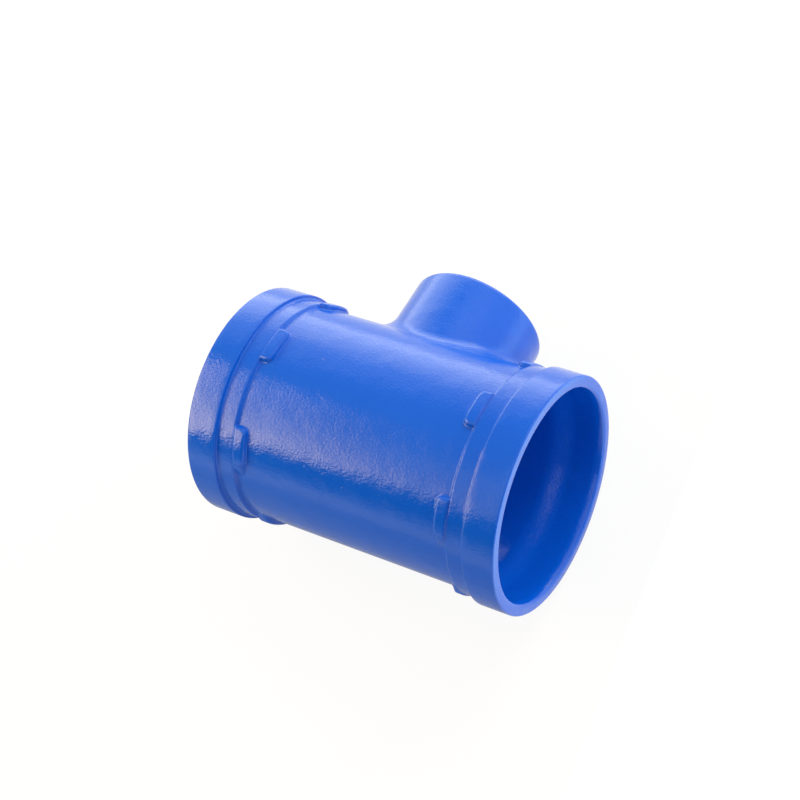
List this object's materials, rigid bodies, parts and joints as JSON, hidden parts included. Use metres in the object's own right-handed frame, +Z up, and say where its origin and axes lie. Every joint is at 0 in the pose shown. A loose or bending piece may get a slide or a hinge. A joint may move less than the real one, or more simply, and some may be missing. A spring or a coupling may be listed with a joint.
{
  "type": "grooved reducing tee",
  "caption": "Painted cast pipe tee: a short run with a grooved lip at each end, raised pads beside the grooves, and a smaller smooth round outlet boss at mid-length.",
  "frame": {"origin": "where the axis of the run meets the axis of the outlet", "axes": "+X along the run, +Z up as the tee rests on its two lips and the outlet's rim, the outlet towards +Y and dipping 17.6 degrees below the horizontal"},
  "size_m": [0.165, 0.1455, 0.1142],
  "materials": {
    "blue_paint": "gloss"
  },
  "bodies": {
    "root": {"tee_body": "blue_paint"}
  },
  "joints": []
}
